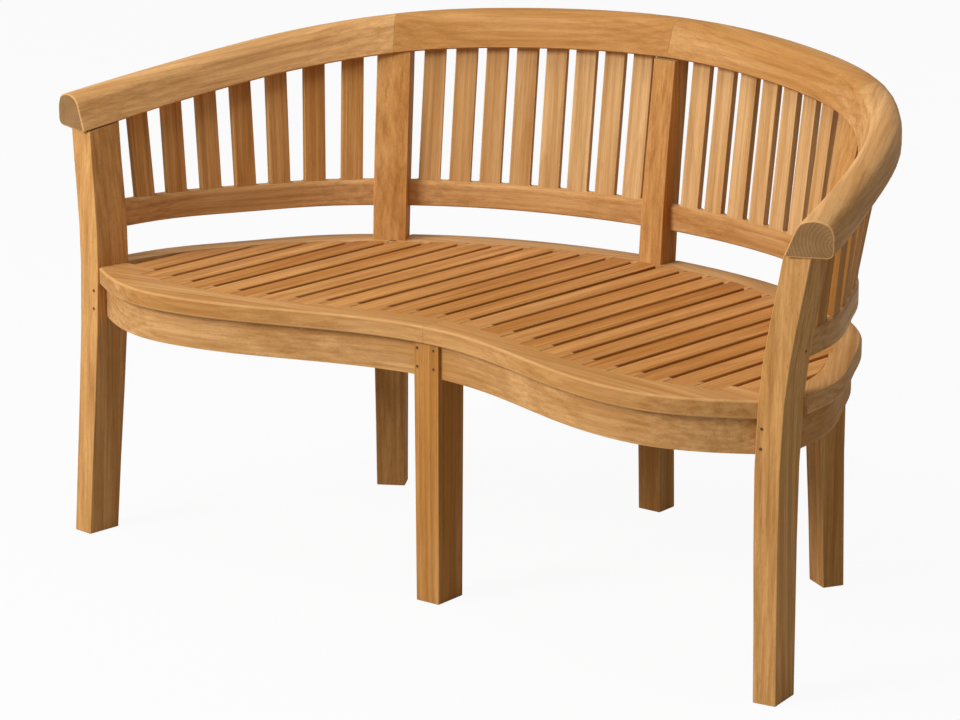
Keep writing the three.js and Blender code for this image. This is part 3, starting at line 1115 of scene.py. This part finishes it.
@dataclass
class PostBoards(NodeBoards):
    """The posts and the front leg, with the dowels that pin the aprons' tenons."""

    heights: tuple[float, float] = (415 * MM, 385 * MM)
    rail_height: float = 525 * MM
    leg_asides: tuple[float, float] = (-17 * MM, 15 * MM)
    post_inset: float = 9 * MM
    side_inset: float = 48 * MM
    levels_per_metre: int = 100
    leg_top_from: float = 300 * MM
    leg_foot_to: float = 100 * MM

    def grain_way(self, piece: Piece) -> Vector:
        """The way a post's grain runs, which is up even where the post is curved."""
        return UP.copy()

    def shape(self, piece: Piece, node: str) -> None:
        """Eases the long edges and bores the holes.

        Args:
            piece: The board.
            node: The solid that it stands for.
        """

        def long_edge(first: Face, second: Face) -> bool:
            """Whether an edge is sharp and isn't at the top, which meets the rail."""
            return is_sharp(first, second) and max(first.normal.z, second.normal.z) < ALIGNED

        round_edges(piece, self.edge, PLAIN_ROUNDING, long_edge)
        smooth(piece)
        for peg in self.pegs(node):
            peg.bore(piece)

    def board(self, node: str) -> None:
        """Makes one post and its dowels.

        Args:
            node: The solid that it stands for.
        """
        super().board(node)
        for number, peg in enumerate(self.pegs(node), 1):
            peg.build(self.timber, f"{node}_dowel_{number}")

    def pegs(self, node: str) -> list[Peg]:
        """The dowels of one post.

        Args:
            node: The post's solid.

        Returns:
            Its dowels.
        """
        if node == "leg_front":
            return [
                Peg(Vector((aside, self.leg_front_y(height), height)), FRONT.copy())
                for aside in self.leg_asides
                for height in self.heights
            ]
        if node.startswith("post_front"):
            return self.front_post_pegs(node)
        return []

    def front_post_pegs(self, node: str) -> list[Peg]:
        """The dowels of a front post: two in front near its inner edge and one in its outer face.

        Args:
            node: The post's solid.

        Returns:
            Its dowels.
        """
        found = []
        for height in self.heights:
            inner, outer = self.front_corners(node, height)
            across = (outer - inner).normalized()
            found.append(Peg(inner + across * self.post_inset, self.front_way(across)))
        inner, outer = self.front_corners(node, self.rail_height)
        across = (outer - inner).normalized()
        found.append(Peg(outer - self.front_way(across) * self.side_inset, across))
        return found

    def front_way(self, across: Vector) -> Vector:
        """The way that a front face looks."""
        facing = UP.cross(across)
        return facing if facing.y < 0 else -facing

    def front_corners(self, node: str, height: float) -> tuple[Vector, Vector]:
        """The inner and the outer corner of a post's front face at a height.

        Args:
            node: The post's solid.
            height: The height.

        Returns:
            The two corners.
        """
        side = 1 if node.endswith("right") else -1
        levels: dict[int, list[Vector]] = {}
        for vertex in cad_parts[node].data.vertices:
            level = round(vertex.co.z * self.levels_per_metre)
            levels.setdefault(level, []).append(vertex.co.copy())
        full = sorted(
            level
            for level, points in levels.items()
            if len({point.to_tuple(5) for point in points}) >= 4
        )
        below = max(level for level in full if level / self.levels_per_metre <= height)
        above = min(level for level in full if level / self.levels_per_metre > height)
        corners = []
        for level in (below, above):
            places = sorted({point.to_tuple(6) for point in levels[level]}, key=lambda p: p[1])
            front = (Vector(place) for place in places[:2])
            corners.append(sorted(front, key=lambda point: point.x * side))
        (low_inner, low_outer), (high_inner, high_outer) = corners
        share = (height - low_inner.z) / (high_inner.z - low_inner.z)
        return low_inner.lerp(high_inner, share), low_outer.lerp(high_outer, share)

    def leg_front_y(self, height: float) -> float:
        """Where the front leg's face is at a height."""
        points = [vertex.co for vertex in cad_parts["leg_front"].data.vertices]
        top = min((p for p in points if p.z > self.leg_top_from), key=lambda p: p.y)
        foot = min((p for p in points if p.z < self.leg_foot_to), key=lambda p: p.y)
        return foot.y + (top.y - foot.y) * height / top.z


@dataclass
class SeatSlats:
    """The seat's slats, each let into the border at both ends, and the battens that tie them."""

    timber: Timber
    pitch: float = 595 * MM / 12
    thickness: float = 18 * MM
    trial: float = 14.9 * MM
    side_count: int = 8
    centre_count: int = 9
    rounding: float = 2.4 * MM
    edge: float = 0.6 * MM
    edge_degrees: float = 50
    spread: float = 0.35
    centre_battens: tuple[float, ...] = (-146.8 * MM, 43.3 * MM, 233.4 * MM)
    side_battens: tuple[float, ...] = (-187 * MM, -56.4 * MM)
    batten_reach: float = 40 * MM
    batten_gap: float = 0.05 * MM
    batten_edge: float = 1.5 * MM
    batten_spread: float = 0.3

    def build(self) -> None:
        """Makes every slat and every batten."""
        half = self.centre_count // 2
        for place in range(-half, half + 1):
            self.slat("seat_panel_centre", place)
        for side, sign in (("right", 1), ("left", -1)):
            for number in range(self.side_count):
                self.slat(f"seat_panel_side_{side}", sign * (half + 1 + number))
            self.battens(f"seat_panel_side_{side}", self.side_battens)
        self.battens("seat_panel_centre", self.centre_battens)

    def slat(self, node: str, place: int) -> None:
        """Cuts one slat out of a copy of its panel.

        Args:
            node: The panel's solid.
            place: The slat's number from the middle, below 0 on the left.
        """
        piece = copy_node(node, f"seat_slat_{'left' if place < 0 else 'right'}_{abs(place)}")
        for side in (-1, 1):
            saw_at(piece, Vector(((place + side / 2) * self.pitch, 0, 0)), Vector((side, 0, 0)))
        saw_at(piece, Vector((0, 0, SEAT_TOP - self.trial)), -SEAT_NORMAL)
        lower = Vector((0, 0, self.trial - self.thickness))
        move_faces(piece, lower, lambda face: face.normal.z < -ALIGNED)
        along = Vector((0, 1, -SEAT_SLOPE)).normalized()
        sawing = self.timber.saw(along, UP, Cut.FLAT, self.spread)

        def long_edge(first: Face, second: Face) -> bool:
            """Whether an edge lies between the top and a long side."""
            faces = (first, second)
            has_top = any(face.normal.z > ALIGNED for face in faces)
            return has_top and any(abs(face.normal.x) > ALIGNED for face in faces)

        round_edges(piece, self.rounding, PLAIN_ROUNDING, long_edge)
        ease_edges(piece, self.edge, SMALL_ROUNDING, self.edge_degrees)
        self.timber.dress(piece, sawing, SEAT_TEAK, SAWN_END, "slat_teak", [node])

    def battens(self, node: str, places: Sequence[float]) -> None:
        """Cuts the battens out of copies of a panel.

        Args:
            node: The panel's solid.
            places: The middles of its battens.
        """
        for number, middle in enumerate(places, 1):
            piece = copy_node(node, f"{node}_batten_{number}")
            top = Vector((0, 0, SEAT_TOP - self.thickness - self.batten_gap))
            saw_at(piece, top, SEAT_NORMAL)
            for side in (-1, 1):
                cut = Vector((0, middle + side * self.batten_reach, 0))
                saw_at(piece, cut, Vector((0, side, 0)))
            sawing = self.timber.saw(Vector((1, 0, 0)), UP, Cut.FLAT, self.batten_spread)
            ease_edges(piece, self.batten_edge, SMALL_ROUNDING)
            self.timber.dress(piece, sawing, APRON_TEAK, SAWN_END, "slat_teak", [node])


# The studio


@dataclass(frozen=True)
class Lamp:
    """A soft square lamp: where it stands, the length of its side and its power in watts."""

    name: str
    place: Triple
    side: float
    power: float


LAMPS = (
    Lamp("key", (-1.9, -4.8, 3.3), 2.2, 275),
    Lamp("overhead", (-0.4, -0.6, 4.2), 2.6, 75),
)


@dataclass
class Studio:
    """The plain pale floor, soft lights and the camera at the photograph's angle."""

    azimuth: float = 37.504
    elevation: float = 15.515
    distance: float = 6.73
    lens: float = 153.47
    sensor_width: float = 36
    far: float = 100
    aim: Vector = field(default_factory=lambda: Vector((-0.1533, 0.043, 0.2977)))
    lamp_aim: Vector = field(default_factory=lambda: Vector((0, 0, 0.45)))
    surround: float = 0.28
    floor_grey: float = 0.57
    floor_glow: float = 0.94
    floor_size: float = 80
    floor_drop: float = 0.5 * MM

    def back_direction(self) -> Vector:
        """From the aim towards the camera."""
        azimuth, elevation = math.radians(self.azimuth), math.radians(self.elevation)
        flat = math.cos(elevation)
        return Vector((math.sin(azimuth) * flat, -math.cos(azimuth) * flat, math.sin(elevation)))

    def camera(self) -> None:
        """Sets the camera."""
        lens = bpy.data.cameras.new("camera")
        lens.lens = self.lens
        lens.sensor_width = self.sensor_width
        lens.clip_end = self.far
        camera = bpy.data.objects.new("camera", lens)
        camera.location = self.aim + self.back_direction() * self.distance
        camera.rotation_euler = self.back_direction().to_track_quat("Z", "Y").to_euler()
        bpy.context.scene.collection.objects.link(camera)
        bpy.context.scene.camera = camera

    def lamp(self, plan: Lamp) -> None:
        """Adds a lamp that looks at the bench.

        Args:
            plan: The lamp's place, size and power.
        """
        light = bpy.data.lights.new(plan.name, "AREA")
        light.size = plan.side
        light.energy = plan.power
        lamp = bpy.data.objects.new(plan.name, light)
        place = Vector(plan.place)
        lamp.location = place
        lamp.rotation_euler = (place - self.lamp_aim).to_track_quat("Z", "Y").to_euler()
        bpy.context.scene.collection.objects.link(lamp)

    def world(self) -> None:
        """An even grey surround, seen as plain white by the camera and in reflections."""
        world = bpy.data.worlds.new("surround")
        bpy.context.scene.world = world
        world.use_nodes = True
        sheet = NodeSheet(world.node_tree)
        colour = sheet.blend(sheet.directly_seen(), grey(self.surround), grey(1))
        background = sheet.node("ShaderNodeBackground", {}, {"Color": colour})
        sheet.node("ShaderNodeOutputWorld", {}, {"Surface": background.outputs[0]})

    def floor(self) -> None:
        """A wide plain floor that keeps a soft shadow and otherwise looks almost white."""
        bpy.ops.object.select_all(action="DESELECT")
        bpy.ops.mesh.primitive_plane_add(size=self.floor_size, location=(0, 0, -self.floor_drop))
        floor = bpy.context.active_object
        floor.name = "floor"
        material, sheet = new_material("pale floor")
        diffuse = sheet.node("ShaderNodeBsdfDiffuse", {}, {"Color": grey(self.floor_grey)})
        glow = sheet.node("ShaderNodeEmission", {}, {"Strength": 1.0})
        share = sheet.directly_seen() * self.floor_glow
        values = {0: share, 1: diffuse.outputs[0], 2: glow.outputs[0]}
        mixed = sheet.node("ShaderNodeMixShader", {}, values)
        sheet.node("ShaderNodeOutputMaterial", {}, {"Surface": mixed.outputs[0]})
        floor.data.materials.append(material)

    def build(self) -> None:
        """Sets up the whole studio."""
        bpy.context.scene.view_settings.view_transform = "Standard"
        self.camera()
        self.world()
        self.floor()
        for plan in LAMPS:
            self.lamp(plan)


def board_groups(timber: Timber) -> list[NodeBoards | SeatSlats]:
    """Lists the groups of boards in the order in which they are made.

    Args:
        timber: The shared workshop.

    Returns:
        The groups.
    """
    post = (POST_TEAK, "post_teak", 1.8 * MM)
    border = (BORDER_TEAK, "border_teak", 0.5 * MM)
    apron = (APRON_TEAK, "apron_teak", 1.6 * MM)
    bearer = (APRON_TEAK, "apron_teak", 2 * MM)
    top_rail = (RAIL_TEAK, "rail_teak", 0.8 * MM)
    lower_rail = (RAIL_TEAK, "rail_teak", 1 * MM)
    back_slat = (SLAT_TEAK, "slat_teak", 1.6 * MM)
    side_slat = (SIDE_SLAT_TEAK, "slat_teak", 1.6 * MM)
    quarter, upward = Cut.QUARTER, UP.copy()
    return [
        PostBoards(timber, "post", *post, tones_and_painted_light=POST_TONES_AND_PAINTED_LIGHT),
        PostBoards(timber, "leg", *post, tones_and_painted_light=POST_TONES_AND_PAINTED_LIGHT),
        BorderBoards(timber, "border", *border, face=upward, end=BORDER_TEAK, tones_and_painted_light=BORDER_TONES_AND_PAINTED_LIGHT),
        NodeBoards(timber, "apron", *apron, cut=quarter),
        RailBoards(timber, "top_rail", *top_rail, face=upward, tones_and_painted_light=RAIL_TONES_AND_PAINTED_LIGHT),
        NodeBoards(timber, "lower_rail", *lower_rail, cut=quarter, tones_and_painted_light=RAIL_TONES_AND_PAINTED_LIGHT),
        SlatBoards(timber, "back_slat", *back_slat, spread=0.4),
        SlatBoards(timber, "side_slat", *side_slat, spread=0.4, tones_and_painted_light=SIDE_SLAT_TONES_AND_PAINTED_LIGHT),
        NodeBoards(timber, "bearer", *bearer),
        SeatSlats(timber),
    ]


def main() -> None:
    """Builds the studio and every piece of the bench, in order."""
    logging.basicConfig(level=logging.INFO, format="%(message)s")
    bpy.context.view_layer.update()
    Studio().build()
    for group in board_groups(Timber()):
        group.build()


if __name__ == "__main__":
    main()
